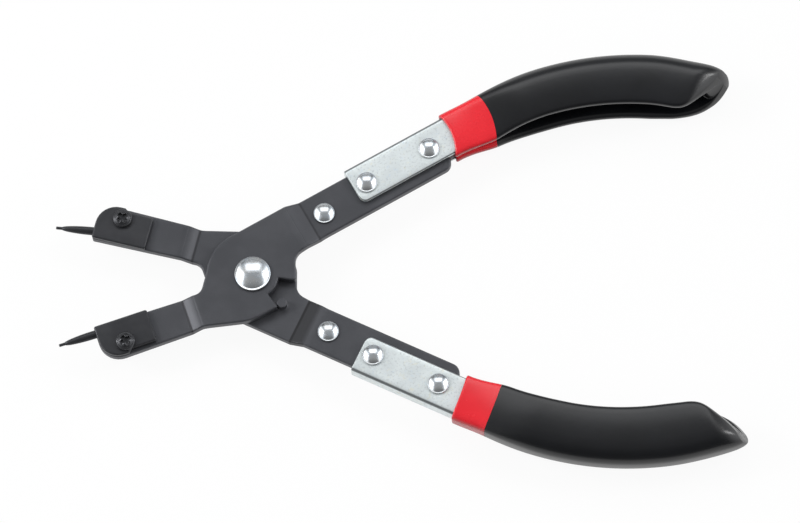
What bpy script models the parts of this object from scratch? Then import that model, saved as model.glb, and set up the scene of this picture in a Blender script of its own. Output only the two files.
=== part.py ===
"""Circlip pliers with screw-clamped interchangeable tips.

Two stamped levers cross at a riveted pivot. Squeezing the handles brings the tips together.
Metres, +Z up. The pivot axis is Z at x = y = 0 and the flat rear face of the pivot rivet lies at z = 0.
The tips point to -X and the handles to +X. Side 1 is the front lever (handle at +Y), side -1 the rear one.
"""

from math import asin, ceil, cos, pi, radians, sin, sqrt, tan

import bmesh
import bpy
from mathutils import Matrix, Vector

FRONT = 1
REAR = -1

# Fits
SEAT_GAP = 0.0002
HOLE_GAP = 0.0002
PIVOT_FIT = 0.00006
MERGE = 0.000001

# Levers
PLATE = 0.0028
LEVER_GAP = 0.0002
EDGE_BREAK = 0.00025
DISC_RADIUS = 0.0134
RIM_RADIUS = 0.0127
HANDLE_ANGLE = radians(27.4)
HANDLE_WIDTH = 0.0127
HANDLE_BASE_WIDTH = 0.0133
HANDLE_BASE_CORNER = 0.004
HANDLE_LENGTH = 0.0668
HANDLE_ROOT = 0.024
HANDLE_ROOT_RADIUS = 0.02
HANDLE_CORNER = 0.003
HANDLE_STEP = 0.0179
HANDLE_STEP_RUN = 0.0043
HANDLE_JOGGLE = (HANDLE_STEP, HANDLE_STEP + HANDLE_STEP_RUN)
JAW_ANGLE = radians(16.5)
JAW_LENGTH = 0.0482
JAW_ROOT = 0.018
JAW_ROOT_WIDTH = 0.0103
JAW_WIDTH = 0.0109
JAW_CORNER = 0.006
JAW_STEP = 0.01845
JAW_STEP_RUN = 0.00325
JAW_JOGGLE = (JAW_STEP, JAW_STEP + JAW_STEP_RUN)
WAIST_X = 0.0123
WAIST_Y = 0.0054
WAIST_RADIUS = 0.004
JAW_WAIST = (-0.0151, -0.0049)
JAW_WAIST_RADIUS = 0.003
BELLY = (-0.001, -0.014)
BELLY_RADIUS = 0.012

# Stop: a boss pressed out of the rear lever runs in a notch of the front lever
STOP_RADIUS = 0.012
BOSS_RADIUS = 0.00145
BOSS_HEIGHT = 0.0022
BOSS_ANGLE = radians(-47.4)
DIMPLE_DEPTH = 0.0014
STOP_GAP = 0.0003
NOTCH_FLOOR = 0.0075
CLOSING_ANGLE = radians(28)

# Pivot rivet
PIVOT_RADIUS = 0.0035
PIVOT_HEAD_RADIUS = 0.0052
PIVOT_HEAD_HEIGHT = 0.0018
TAIL_RADIUS = 0.0058
TAIL_HEIGHT = 0.0012

# Third rivet of each lever, which holds the return spring
POST_SETBACK = 0.0048
SPRING_POST = (HANDLE_JOGGLE[1] + POST_SETBACK, 0.0062)

# Handle channels: folded sheet, from behind the third rivet to inside the grip's nose
SHEET = 0.0014
CHANNEL_SETBACK = 0.011
CHANNEL_START = SPRING_POST[0] + CHANNEL_SETBACK
CHANNEL_WIDTH = 0.0115
FOLD_SHARE = 0.45
FOLD_INNER = 0.0005
RIVET_OUT = 0.0077
CHANNEL_RIVETS = {"inner": (CHANNEL_START + 0.004, RIVET_OUT), "outer": (HANDLE_LENGTH - 0.0041, RIVET_OUT)}

# Vinyl: a red collar first, then the black grip, straight, bent and drawn in to a nose
SKIN = 0.0006
COLLAR_START = HANDLE_LENGTH + 0.0034
COLLAR_LENGTH = 0.0108
COLLAR_END = COLLAR_START + COLLAR_LENGTH
BEND_START = COLLAR_END + 0.002
BEND_LENGTH = 0.059
BEND_RADIUS = 0.092
FLARE = (COLLAR_START, BEND_START + 0.011)
FLARE_HEIGHT = 0.0024
COLLAR_WIDENING = 0.0019
GRIP_WIDENING = 0.0008
TIP_START = BEND_START + BEND_LENGTH
TIP_LENGTH = 0.0164
NOSE_START = TIP_START + 0.008
NOSE_LENGTH = 0.0084
CHANNEL_END = NOSE_START + 0.002
GRIP_END = NOSE_START + 0.95 * NOSE_LENGTH

# Small rivets
RIVET_RADIUS = 0.0017
RIVET_HEAD_RADIUS = 0.00305
RIVET_HEAD_HEIGHT = 0.0013
RIVET_TAIL_RADIUS = 0.0027
RIVET_TAIL_HEIGHT = 0.0009

# Return spring
WIRE = 0.0012
COIL_CLEARANCE = 0.0003
COIL_PITCH = 0.0014
COIL_STEP = radians(20)
HOOK_ANGLE = radians(150)
POST_RADIUS = 0.0015
POST_FLANGE_RADIUS = 0.0024
POST_FLANGE_HEIGHT = 0.0007

# Tips and their clamps
TIP_RADIUS = 0.0012
TIP_WAIST_RADIUS = 0.00115
TIP_FRONT_RADIUS = 0.0008
NIB_RADIUS = 0.00043
NIB_LENGTH = 0.0018
TIP_REACH = 0.011
TIP_DEPTH = 0.0030
TIP_CLEARANCE = 0.00015
TIP_OUT = {FRONT: 0.00175, REAR: 0.0023}
TIP_TILT = {FRONT: radians(1.1), REAR: radians(8.2)}
TIP_SINK = 0.0003
CLAMP = 0.0014
CLAMP_LENGTH = 0.016
CLAMP_INSET = 0.0012
CLAMP_CORNER = 0.0006
SCREW_PLACE = (JAW_LENGTH - 0.0074, 0.0073)
SCREW_RADIUS = 0.0015
SCREW_HEAD_RADIUS = 0.0028
SCREW_HEAD_HEIGHT = 0.0018
RECESS_LENGTH = 0.0032
RECESS_WIDTH = 0.0008
RECESS_DEPTH = 0.0012


def clear_scene():
    for obj in list(bpy.data.objects):
        bpy.data.objects.remove(obj, do_unlink=True)


def add_collection(name):
    collection = bpy.data.collections.new(name)
    bpy.context.scene.collection.children.link(collection)
    return collection


def finish_of(colour, metallic, roughness, name):
    material = bpy.data.materials.new(name)
    material.use_nodes = True
    shader = material.node_tree.nodes["Principled BSDF"]
    shader.inputs["Base Color"].default_value = (*colour, 1)
    shader.inputs["Metallic"].default_value = metallic
    shader.inputs["Roughness"].default_value = roughness
    return material


def black_steel(name):
    return finish_of((0.065, 0.067, 0.078), 0.85, 0.42, name)


def zinc(name):
    return finish_of((0.62, 0.65, 0.65), 1.0, 0.3, name)


def spring_steel(name):
    return finish_of((0.35, 0.35, 0.36), 1.0, 0.35, name)


def vinyl(colour):
    return lambda name: finish_of(colour, 0.0, 0.22, name)


RED_VINYL = vinyl((0.75, 0.02, 0.035))
BLACK_VINYL = vinyl((0.013, 0.014, 0.017))


def add_object(name, mesh, finish):
    obj = bpy.data.objects.new(name, mesh)
    parts.objects.link(obj)
    mesh.materials.clear()
    mesh.materials.append(finish(name))
    return obj


def shade(obj, angle=radians(35)):
    obj.data.shade_smooth()
    obj.data.set_sharp_from_angle(angle=angle)


def polar(radius, angle):
    return Vector((radius * cos(angle), radius * sin(angle)))


def arc(centre, radius, start, end, step=radians(12)):
    """Points on a circle from one angle to another, both ends included."""
    count = max(2, ceil(abs(end - start) / step))
    angles = [start + (end - start) * i / count for i in range(count + 1)]
    return [Vector(centre) + polar(radius, angle) for angle in angles]


def rounded(corners):
    """Closed outline through the corners (point, radius), each corner rounded by its radius."""
    points = []
    for i, (corner, radius) in enumerate(corners):
        here = Vector(corner)
        back = (Vector(corners[i - 1][0]) - here).normalized()
        ahead = (Vector(corners[(i + 1) % len(corners)][0]) - here).normalized()
        turn = pi - back.angle(ahead)
        if radius == 0:
            points.append(here)
            continue
        centre = here + (back + ahead).normalized() * radius / cos(turn / 2)
        first = here + back * radius * tan(turn / 2) - centre
        swing = turn if back.cross(ahead) < 0 else -turn
        count = max(2, ceil(turn / radians(12)))
        points += [centre + Matrix.Rotation(swing * k / count, 2) @ first for k in range(count + 1)]
    return points


def handle_point(along, out, side=FRONT):
    """Point on a handle: along the ray from the pivot and outwards from it."""
    x = along * cos(HANDLE_ANGLE) - out * sin(HANDLE_ANGLE)
    y = along * sin(HANDLE_ANGLE) + out * cos(HANDLE_ANGLE)
    return Vector((x, side * y))


def jaw_point(along, out, side=FRONT):
    """Point on a jaw: along the ray from the pivot and outwards from it."""
    x = -along * cos(JAW_ANGLE) + out * sin(JAW_ANGLE)
    y = -along * sin(JAW_ANGLE) - out * cos(JAW_ANGLE)
    return Vector((x, side * y))


def circle(centre, radius, count=16):
    return [Vector(centre) + polar(radius, 2 * pi * i / count) for i in range(count)]


def area(outline):
    """Area inside a closed outline, below zero when it runs clockwise."""
    return sum(a.x * b.y - b.x * a.y for a, b in zip(outline, outline[1:] + outline[:1])) / 2


def plate_mesh(name, outlines, bottom, top):
    """Flat plate between two heights from a closed outline and its holes, with all its edges broken."""
    curve = bpy.data.curves.new(name, "CURVE")
    curve.dimensions = "2D"
    curve.fill_mode = "BOTH"
    curve.extrude = (top - bottom) / 2 - EDGE_BREAK
    curve.bevel_depth = EDGE_BREAK
    curve.bevel_resolution = 0
    curve.offset = -EDGE_BREAK
    for number, outline in enumerate(outlines):
        if (area(outline) > 0) == (number > 0):
            outline = outline[::-1]
        spline = curve.splines.new("POLY")
        spline.points.add(len(outline) - 1)
        for point, place in zip(spline.points, outline):
            point.co = (place[0], place[1], 0, 1)
        spline.use_cyclic_u = True
    guide = bpy.data.objects.new(name, curve)
    bpy.context.scene.collection.objects.link(guide)
    graph = bpy.context.evaluated_depsgraph_get()
    mesh = bpy.data.meshes.new_from_object(guide.evaluated_get(graph))
    bpy.data.objects.remove(guide)
    body = bmesh.new()
    body.from_mesh(mesh)
    bmesh.ops.remove_doubles(body, verts=body.verts, dist=MERGE)
    bmesh.ops.translate(body, verts=body.verts, vec=(0, 0, (top + bottom) / 2))
    bmesh.ops.dissolve_limit(body, angle_limit=radians(1), verts=body.verts, edges=body.edges)
    body.to_mesh(mesh)
    body.free()
    return mesh


def joggle(mesh, direction, stretch, rise):
    """Step the plate in Z between two lines square to a direction from the pivot."""
    body = bmesh.new()
    body.from_mesh(mesh)
    normal = Vector((direction[0], direction[1], 0)).normalized()
    for distance in stretch:
        geometry = list(body.verts) + list(body.edges) + list(body.faces)
        bmesh.ops.bisect_plane(body, geom=geometry, dist=MERGE, plane_co=normal * distance, plane_no=normal)
    for vert in body.verts:
        share = (vert.co.dot(normal) - stretch[0]) / (stretch[1] - stretch[0])
        vert.co.z += rise * min(1, max(0, share))
    bmesh.ops.recalc_face_normals(body, faces=body.faces)
    body.to_mesh(mesh)
    body.free()


def add_cutter(name, mesh):
    cutter = bpy.data.objects.new(name, mesh)
    cutters.objects.link(cutter)
    cutter.hide_render = True
    cutter.display_type = "WIRE"
    return cutter


def apply_cutter(obj, cutter, operation="DIFFERENCE"):
    modifier = obj.modifiers.new(cutter.name, "BOOLEAN")
    modifier.operation = operation
    modifier.object = cutter
    modifier.solver = "EXACT"


def cylinder(name, place, radius, bottom, top, count=16):
    """Upright cylinder, used as a cutter or as a tool for a union."""
    mesh = bpy.data.meshes.new(name)
    body = bmesh.new()
    size = top - bottom
    centre = Matrix.Translation((place[0], place[1], (bottom + top) / 2))
    bmesh.ops.create_cone(
        body, cap_ends=True, segments=count, radius1=radius, radius2=radius, depth=size, matrix=centre
    )
    body.to_mesh(mesh)
    body.free()
    return add_cutter(name, mesh)


def turned(name, profile, place, finish, steps=18, rotation=None):
    """Turned piece from a profile of (radius, height), listed from its top to its bottom."""
    mesh = bpy.data.meshes.new(name)
    body = bmesh.new()
    verts = [body.verts.new((radius, 0, height)) for radius, height in profile]
    for first, second in zip(verts, verts[1:]):
        body.edges.new((first, second))
    body.to_mesh(mesh)
    body.free()
    obj = add_object(name, mesh, finish)
    obj.location = place
    if rotation is not None:
        obj.rotation_euler = rotation
    modifier = obj.modifiers.new("turn", "SCREW")
    modifier.steps = steps
    modifier.render_steps = steps
    modifier.use_merge_vertices = True
    modifier.merge_threshold = MERGE
    modifier.use_smooth_shade = True
    return obj


def dome(radius, height, seat, count=4):
    """Profile of a domed head, from its top down to its rim at the seat."""
    ball = (radius * radius + height * height) / (2 * height)
    swing = asin(radius / ball)
    angles = [swing * i / count for i in range(count + 1)]
    return [(ball * sin(angle), seat + height - ball * (1 - cos(angle))) for angle in angles]


def post_tangent():
    """Direction of a spring leg: over the outer side of the coil and along the inner side of its post."""
    post = handle_point(*SPRING_POST)
    lean = asin((COIL_RADIUS + HOOK_RADIUS) / post.length)
    return Vector((1, 0)).angle(post) - lean


COIL_RADIUS = PIVOT_RADIUS + COIL_CLEARANCE + WIRE / 2
HOOK_RADIUS = POST_RADIUS + SEAT_GAP + WIRE / 2
LEG_ANGLE = post_tangent()
COIL_ANGLE = 3 * pi - 2 * LEG_ANGLE
COIL_HEIGHT = COIL_PITCH * COIL_ANGLE / (2 * pi)
REAR_BOTTOM = TAIL_HEIGHT + COIL_HEIGHT + WIRE + 2 * COIL_CLEARANCE
MIDDLE = REAR_BOTTOM + PLATE + LEVER_GAP / 2
STEP = (PLATE + LEVER_GAP) / 2
BACK = MIDDLE - PLATE / 2
FACE = MIDDLE + PLATE / 2
FRONT_TOP = MIDDLE + LEVER_GAP / 2 + PLATE
CHANNEL_EDGE = HANDLE_WIDTH + SEAT_GAP + SHEET
CHANNEL_HALF = PLATE / 2 + SEAT_GAP + SHEET
COAT = SEAT_GAP + SKIN
CLAMP_BOTTOM = FACE + SEAT_GAP
CLAMP_TOP = CLAMP_BOTTOM + CLAMP
TIP_HEIGHT = FACE - TIP_SINK


def lever_corners(side):
    """Corners of a lever, drawn for the front one: round by handle, disc, jaw, belly and stop."""
    meeting = sqrt(DISC_RADIUS**2 - HANDLE_BASE_WIDTH**2)
    disc_start = HANDLE_ANGLE + asin(HANDLE_BASE_WIDTH / DISC_RADIUS)
    corners = [
        ((WAIST_X, WAIST_Y), WAIST_RADIUS),
        (handle_point(HANDLE_ROOT, 0), HANDLE_ROOT_RADIUS),
        (handle_point(HANDLE_LENGTH, 0), HANDLE_CORNER),
        (handle_point(HANDLE_LENGTH, HANDLE_WIDTH), HANDLE_CORNER / 2),
        (handle_point(HANDLE_JOGGLE[1], HANDLE_WIDTH), HANDLE_BASE_CORNER),
        (handle_point(HANDLE_JOGGLE[0], HANDLE_BASE_WIDTH), HANDLE_BASE_CORNER),
        (handle_point(meeting, HANDLE_BASE_WIDTH), 0),
    ]
    disc = arc((0, 0), DISC_RADIUS, disc_start, pi - radians(5))
    corners += [(point, 0) for point in disc[1:]]
    corners += [
        (JAW_WAIST, JAW_WAIST_RADIUS),
        (jaw_point(JAW_LENGTH, 0), 0.0006),
        (jaw_point(JAW_LENGTH, JAW_WIDTH), JAW_CORNER),
        (jaw_point(JAW_ROOT, JAW_ROOT_WIDTH), 0.01),
        (BELLY, BELLY_RADIUS),
    ]
    if side == REAR:
        rim = arc((0, 0), RIM_RADIUS, radians(-58), radians(-8))
        return corners + [(point, 0) for point in rim]
    width = asin(BOSS_RADIUS / STOP_RADIUS)
    gap = STOP_GAP / STOP_RADIUS
    open_wall = BOSS_ANGLE - width - gap
    closed_wall = BOSS_ANGLE + CLOSING_ANGLE + width + gap
    floor = arc((0, 0), NOTCH_FLOOR, open_wall, closed_wall)
    corners += [(polar(RIM_RADIUS - 0.0004, open_wall), 0.0006)]
    corners += [(point, 0) for point in floor]
    return corners + [(polar(RIM_RADIUS, closed_wall), 0.0007)]


def lever(name, side):
    """Stamped lever: one plate, stepped at the jaw and at the handle so that both levers lie level there."""
    outline = [Vector((point.x, side * point.y)) for point in rounded(lever_corners(side))]
    holes = [circle((0, 0), PIVOT_RADIUS + PIVOT_FIT, 28)]
    for place in (*CHANNEL_RIVETS.values(), SPRING_POST):
        holes.append(circle(handle_point(*place, side), RIVET_RADIUS + HOLE_GAP))
    holes.append(circle(jaw_point(*SCREW_PLACE, side), SCREW_RADIUS + HOLE_GAP))
    bottom = FRONT_TOP - PLATE if side == FRONT else REAR_BOTTOM
    mesh = plate_mesh(name, [outline, *holes], bottom, bottom + PLATE)
    joggle(mesh, handle_point(1, 0, side), HANDLE_JOGGLE, -side * STEP)
    joggle(mesh, jaw_point(1, 0, side), JAW_JOGGLE, -side * STEP)
    obj = add_object(name, mesh, black_steel)
    shade(obj)
    apply_cutter(obj, tip_groove(name + "_groove", side))
    if side == REAR:
        place = polar(STOP_RADIUS, BOSS_ANGLE)
        top = REAR_BOTTOM + PLATE
        boss = cylinder("boss_tool", place, BOSS_RADIUS, top - DIMPLE_DEPTH / 2, top + BOSS_HEIGHT)
        apply_cutter(obj, boss, "UNION")
        below = REAR_BOTTOM - PLATE
        dimple = cylinder("dimple_cutter", place, BOSS_RADIUS, below, REAR_BOTTOM + DIMPLE_DEPTH)
        apply_cutter(obj, dimple)
    return obj


def tip_start(side):
    """Rear end of a tip pin, inside the clamp."""
    return jaw_point(JAW_LENGTH - CLAMP_LENGTH + TIP_DEPTH, tip_out(side, CLAMP_LENGTH - TIP_DEPTH), side)


def tip_out(side, back):
    """How far out a tip's axis lies, at a distance back from the jaw's end."""
    return TIP_OUT[side] + back * tan(TIP_TILT[side])


def tip_direction(side):
    here = tip_start(side)
    there = jaw_point(JAW_LENGTH, TIP_OUT[side], side)
    return (there - here).normalized()


def tip_rotation(side):
    """Turn the upright profile so that its top points along the tip's axis."""
    direction = tip_direction(side)
    return Vector((direction.x, direction.y, 0)).to_track_quat("Z", "Y").to_euler()


def tip_groove(name, side):
    """Round groove for the tip pin, from its rear end out past the end of the jaw."""
    start = tip_start(side) - tip_direction(side) * HOLE_GAP
    end = jaw_point(JAW_LENGTH + TIP_DEPTH, tip_out(side, -TIP_DEPTH), side)
    middle = (start + end) / 2
    mesh = bpy.data.meshes.new(name)
    body = bmesh.new()
    turn = tip_rotation(side).to_matrix().to_4x4()
    place = Matrix.Translation((middle.x, middle.y, TIP_HEIGHT)) @ turn
    radius = TIP_RADIUS + TIP_CLEARANCE
    length = (end - start).length
    bmesh.ops.create_cone(
        body, cap_ends=True, segments=20, radius1=radius, radius2=radius, depth=length, matrix=place
    )
    body.to_mesh(mesh)
    body.free()
    return add_cutter(name, mesh)


def tip(name, side):
    """Tip pin: a round shank in the clamp, a slightly barrelled taper in front and the nib."""
    buried = CLAMP_LENGTH - TIP_DEPTH
    front = buried / cos(TIP_TILT[side])
    taper = TIP_REACH - NIB_LENGTH
    profile = [
        (0, front + TIP_REACH),
        (NIB_RADIUS * 0.7, front + TIP_REACH),
        (NIB_RADIUS, front + TIP_REACH - NIB_RADIUS * 0.3),
        (NIB_RADIUS, front + taper),
        (TIP_FRONT_RADIUS, front + taper - 0.0002),
        (TIP_WAIST_RADIUS, front + taper * 0.45),
        (TIP_RADIUS, front + taper * 0.12),
        (TIP_RADIUS, 0.0002),
        (TIP_RADIUS - 0.0002, 0),
        (0, 0),
    ]
    start = tip_start(side)
    return turned(name, profile, (start.x, start.y, TIP_HEIGHT), black_steel, 16, tip_rotation(side))


def tip_clamp(name, side):
    """Clamp plate on the jaw: grooved over the tip, held by one screw."""
    back = JAW_LENGTH - CLAMP_LENGTH
    inset = JAW_WIDTH - CLAMP_INSET
    corners = [
        (jaw_point(back, 0, side), CLAMP_CORNER),
        (jaw_point(JAW_LENGTH, 0, side), CLAMP_CORNER),
        (jaw_point(JAW_LENGTH, JAW_WIDTH - SEAT_GAP, side), JAW_CORNER),
        (jaw_point(SCREW_PLACE[0], JAW_WIDTH - SEAT_GAP, side), 0),
        (jaw_point(SCREW_PLACE[0] - CLAMP_INSET, inset, side), 0),
        (jaw_point(back, inset, side), CLAMP_CORNER),
    ]
    screw = jaw_point(*SCREW_PLACE, side)
    hole = circle(screw, SCREW_RADIUS + HOLE_GAP)
    mesh = plate_mesh(name, [rounded(corners), hole], CLAMP_BOTTOM, CLAMP_TOP)
    mesh.transform(Matrix.Translation((-screw.x, -screw.y, -CLAMP_BOTTOM)))
    obj = add_object(name, mesh, black_steel)
    obj.location = (screw.x, screw.y, CLAMP_BOTTOM)
    shade(obj)
    apply_cutter(obj, tip_groove(name + "_groove", side))
    return obj


def clamp_screw(name, side):
    """Pan-head screw through the clamp into the jaw, with a cross recess."""
    seat = CLAMP_TOP + SEAT_GAP
    rim = SCREW_HEAD_HEIGHT * 0.35
    profile = dome(SCREW_HEAD_RADIUS - 0.0002, SCREW_HEAD_HEIGHT - rim, rim, 4)
    profile += [(SCREW_HEAD_RADIUS, rim * 0.7), (SCREW_HEAD_RADIUS, 0), (SCREW_RADIUS, 0)]
    profile += [(SCREW_RADIUS, BACK - seat + 0.0002), (SCREW_RADIUS - 0.0002, BACK - seat), (0, BACK - seat)]
    place = jaw_point(*SCREW_PLACE, side)
    obj = turned(name, profile, (place.x, place.y, seat), black_steel)
    for number, angle in enumerate((radians(35), radians(125))):
        mesh = bpy.data.meshes.new(f"{name}_recess_{number}")
        body = bmesh.new()
        size = Matrix.Diagonal((RECESS_LENGTH, RECESS_WIDTH, 2 * RECESS_DEPTH, 1))
        spot = Matrix.Translation((place.x, place.y, seat + SCREW_HEAD_HEIGHT))
        bmesh.ops.create_cube(body, size=1, matrix=spot @ Matrix.Rotation(angle, 4, "Z") @ size)
        body.to_mesh(mesh)
        body.free()
        apply_cutter(obj, add_cutter(mesh.name, mesh))
    return obj


def pivot_rivet():
    """Pivot rivet: domed head in front, shank through both levers and the coil, flat tail behind."""
    seat = FRONT_TOP + SEAT_GAP
    profile = dome(PIVOT_HEAD_RADIUS, PIVOT_HEAD_HEIGHT, seat, 6)
    profile += [
        (PIVOT_RADIUS, seat),
        (PIVOT_RADIUS, TAIL_HEIGHT),
        (TAIL_RADIUS, TAIL_HEIGHT),
        (TAIL_RADIUS, 0.0003),
        (TAIL_RADIUS - 0.0003, 0),
        (0, 0),
    ]
    return turned("pivot_rivet", profile, (0, 0, 0), zinc, 28)


def channel_rivet(name, side, place):
    """Domed rivet through both flanges of a channel and the handle between them."""
    reach = CHANNEL_HALF + SEAT_GAP
    profile = dome(RIVET_HEAD_RADIUS, RIVET_HEAD_HEIGHT, reach)
    profile += [
        (RIVET_RADIUS, reach),
        (RIVET_RADIUS, -reach),
        (RIVET_TAIL_RADIUS, -reach),
        (RIVET_TAIL_RADIUS * 0.75, -reach - RIVET_TAIL_HEIGHT),
        (0, -reach - RIVET_TAIL_HEIGHT),
    ]
    spot = handle_point(*place, side)
    return turned(name, profile, (spot.x, spot.y, MIDDLE), zinc)


def spring_post(name, side):
    """Third rivet of a lever: its long flanged rear end holds a leg of the return spring."""
    seat = FACE + SEAT_GAP
    back = BACK - SEAT_GAP
    hook = leg_height() - WIRE / 2 - SEAT_GAP
    profile = dome(RIVET_HEAD_RADIUS, RIVET_HEAD_HEIGHT, seat)
    profile += [
        (RIVET_RADIUS, seat),
        (RIVET_RADIUS, back),
        (POST_FLANGE_RADIUS, back),
        (POST_FLANGE_RADIUS, back - POST_FLANGE_HEIGHT / 2),
        (POST_RADIUS, back - POST_FLANGE_HEIGHT / 2),
        (POST_RADIUS, hook),
        (POST_FLANGE_RADIUS, hook),
        (POST_FLANGE_RADIUS - 0.0003, hook - POST_FLANGE_HEIGHT),
        (0, hook - POST_FLANGE_HEIGHT),
    ]
    spot = handle_point(*SPRING_POST, side)
    return turned(name, profile, (spot.x, spot.y, 0), zinc)


def leg_height():
    """Height of the spring legs at their hooks: level with the top of the coil, clear of the rear lever."""
    return REAR_BOTTOM - COIL_CLEARANCE - WIRE / 2


def leg_points(side):
    """Hook and straight leg of the spring, from the hook's end towards the coil."""
    post = handle_point(*SPRING_POST)
    start = LEG_ANGLE - pi / 2
    hook = arc(post, HOOK_RADIUS, start + HOOK_ANGLE, start, radians(25))
    return [Vector((point.x, side * point.y, leg_height())) for point in hook]


def coil_point(turned_by):
    """Point of the coil's centre line, counted from the front leg at its top."""
    spot = polar(COIL_RADIUS, LEG_ANGLE + pi / 2 + turned_by)
    return Vector((spot.x, spot.y, leg_height() - COIL_HEIGHT * turned_by / COIL_ANGLE))


def return_spring():
    """Torsion spring round the pivot rivet, behind the rear lever, pushing both handles outwards."""
    count = ceil(COIL_ANGLE / COIL_STEP)
    coil = [coil_point(COIL_ANGLE * i / count) for i in range(count + 1)]
    points = leg_points(FRONT) + coil + leg_points(REAR)[::-1]
    curve = bpy.data.curves.new("return_spring", "CURVE")
    curve.dimensions = "3D"
    curve.bevel_depth = WIRE / 2
    curve.bevel_resolution = 2
    curve.use_fill_caps = True
    spline = curve.splines.new("POLY")
    spline.points.add(len(points) - 1)
    for point, place in zip(spline.points, points):
        point.co = (*place, 1)
    obj = bpy.data.objects.new("return_spring", curve)
    parts.objects.link(obj)
    curve.materials.append(spring_steel("return_spring"))
    return obj


def ease(value, start, end):
    """Smooth rise from 0 to 1 between two lengths."""
    share = min(1, max(0, (value - start) / (end - start)))
    return share * share * (3 - 2 * share)


def ellipse(value, start, length):
    """Falls from 1 to 0 like a quarter of an ellipse."""
    share = max(0, (value - start) / length)
    return sqrt(max(0, 1 - share * share))


def edge_frame(along):
    """Point on a channel's outer edge and the way inwards, straight first and then round the bend."""
    if along <= BEND_START:
        return handle_point(along, CHANNEL_EDGE), -handle_point(0, 1)
    centre = handle_point(BEND_START, CHANNEL_EDGE - BEND_RADIUS)
    angle = HANDLE_ANGLE + pi / 2 - (along - BEND_START) / BEND_RADIUS
    return centre + polar(BEND_RADIUS, angle), -polar(1, angle)


def channel_width(along):
    width = CHANNEL_WIDTH + COLLAR_WIDENING * ease(along, COLLAR_START, BEND_START)
    width += GRIP_WIDENING * ease(along, BEND_START, TIP_START)
    return (width + 2 * COAT) * ellipse(along, TIP_START, TIP_LENGTH) - 2 * COAT


def channel_half(along):
    """Half the thickness over both flanges: it flares inside the grip and draws in at the nose."""
    half = CHANNEL_HALF + FLARE_HEIGHT * ease(along, *FLARE)
    least = SHEET + COAT
    return least + (half - least) * ellipse(along, NOSE_START, NOSE_LENGTH)


def u_section(along, grow):
    """Section across a channel as (inwards, height), grown on all sides by a coat."""
    half = channel_half(along)
    outer = half + grow
    inner = max(half - SHEET - grow, 0.0004)
    web = SHEET + grow
    lip = max(channel_width(along) + grow, web + 0.0005)
    fold = min(FOLD_SHARE * half + grow, outer * 0.8)
    corner = min(0.7 * inner, FOLD_INNER)
    edge = (outer - inner) / 2
    round_lip = min(0.8 * edge, (lip - web) / 2)
    upper = arc((web + corner, inner - corner), corner, pi, pi / 2, radians(46))
    upper += arc((lip - round_lip, inner + round_lip), round_lip, -pi / 2, 0, radians(46))
    upper += arc((lip - round_lip, outer - round_lip), round_lip, 0, pi / 2, radians(46))
    upper += arc((fold - grow, outer - fold), fold, pi / 2, pi, radians(31))
    return upper + [Vector((point.x, -point.y)) for point in reversed(upper)]


def sweep(name, side, stations, grow):
    """Solid through the U sections at these distances along the handle."""
    body = bmesh.new()
    rings = []
    for along in stations:
        edge, inwards = edge_frame(along)
        ring = []
        for across, height in u_section(along, grow):
            place = edge + inwards * across
            ring.append(body.verts.new((place.x, side * place.y, MIDDLE + height)))
        rings.append(ring)
    for ring, following in zip(rings, rings[1:]):
        for i in range(len(ring)):
            body.faces.new((ring[i - 1], ring[i], following[i], following[i - 1]))
    body.faces.new(rings[0])
    body.faces.new(rings[-1])
    bmesh.ops.recalc_face_normals(body, faces=body.faces)
    bmesh.ops.triangulate(body, faces=[face for face in body.faces if len(face.verts) > 4])
    mesh = bpy.data.meshes.new(name)
    body.to_mesh(mesh)
    body.free()
    return mesh


def spaced(start, end, count):
    return [start + (end - start) * i / count for i in range(count + 1)]


def bend_stations():
    return spaced(FLARE[1], TIP_START, 6)[1:]


def nosed(start, end, count):
    """Distances that lie closer together towards the end of the nose."""
    return [start + (end - start) * sin(pi / 2 * i / count) for i in range(1, count + 1)]


def handle_channel(name, side):
    """Folded sheet channel: open inwards, riveted over the handle, running on into the grip."""
    stations = [CHANNEL_START, *spaced(*FLARE, 6), *bend_stations()]
    stations += nosed(TIP_START, CHANNEL_END, 4)
    obj = add_object(name, sweep(name, side, stations, 0), zinc)
    shade(obj)
    for which, place in CHANNEL_RIVETS.items():
        spot = handle_point(*place, side)
        reach = 2 * CHANNEL_HALF
        radius = RIVET_RADIUS + HOLE_GAP
        apply_cutter(obj, cylinder(f"{name}_{which}_cutter", spot, radius, MIDDLE - reach, MIDDLE + reach))
    return obj


def dipped(name, side, stations, pocket, finish):
    """Vinyl round a channel: the coat's U section less a pocket for the steel."""
    obj = add_object(name, sweep(name, side, stations, COAT), finish)
    shade(obj)
    cutter = add_cutter(name + "_pocket", sweep(name + "_pocket", side, pocket, SEAT_GAP))
    apply_cutter(obj, cutter)
    return obj


def grip_collar(name, side):
    """Red front end of the dipped grip."""
    stations = spaced(COLLAR_START, COLLAR_END, 5)
    pocket = spaced(COLLAR_START - SHEET, COLLAR_END + SHEET, 6)
    return dipped(name, side, stations, pocket, RED_VINYL)


def grip(name, side):
    """Black grip over the rest of the channel, bent, with its end drawn in to a round nose."""
    start = COLLAR_END + SEAT_GAP
    stations = [*spaced(start, FLARE[1], 4), *bend_stations()]
    pocket = [start - SHEET, *stations[1:], *nosed(TIP_START, CHANNEL_END + SEAT_GAP, 4)]
    stations += nosed(TIP_START, GRIP_END, 7)
    return dipped(name, side, stations, pocket, BLACK_VINYL)


def carrier(name, pieces):
    """Empty on the pivot axis that carries the pieces of one lever."""
    empty = bpy.data.objects.new(name, None)
    parts.objects.link(empty)
    empty.location = (0, 0, MIDDLE)
    bpy.context.view_layer.update()
    for piece in pieces:
        piece.parent = empty
        piece.matrix_parent_inverse = empty.matrix_world.inverted()


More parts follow.
